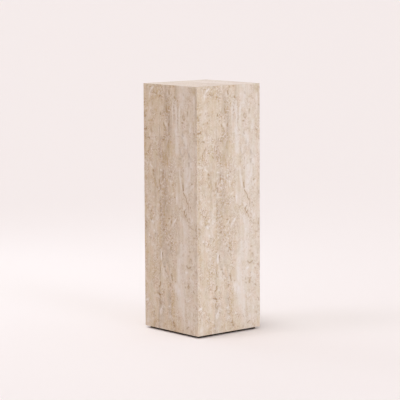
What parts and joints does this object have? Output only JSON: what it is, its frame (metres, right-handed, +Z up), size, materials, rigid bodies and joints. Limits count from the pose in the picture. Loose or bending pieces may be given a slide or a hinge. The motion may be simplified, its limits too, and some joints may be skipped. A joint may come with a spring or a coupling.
{
  "type": "plinth",
  "caption": "Tall square display plinth of mitred vein-cut travertine slabs, hollow, on a thin dark board set in from the faces.",
  "frame": {"origin": "centre of the plinth's underside, which is the underside of the recessed base, on the floor", "axes": "+Z up along the plinth's height; -Y is the front face and -X the left face, both square to the plan"},
  "size_m": [0.3, 0.3, 0.904],
  "materials": {
    "travertine": "honed",
    "black_board": "matte"
  },
  "bodies": {
    "root": {"front_slab": "travertine", "right_slab": "travertine", "back_slab": "travertine", "left_slab": "travertine", "top_slab": "travertine", "recessed_base": "black_board"}
  },
  "joints": []
}
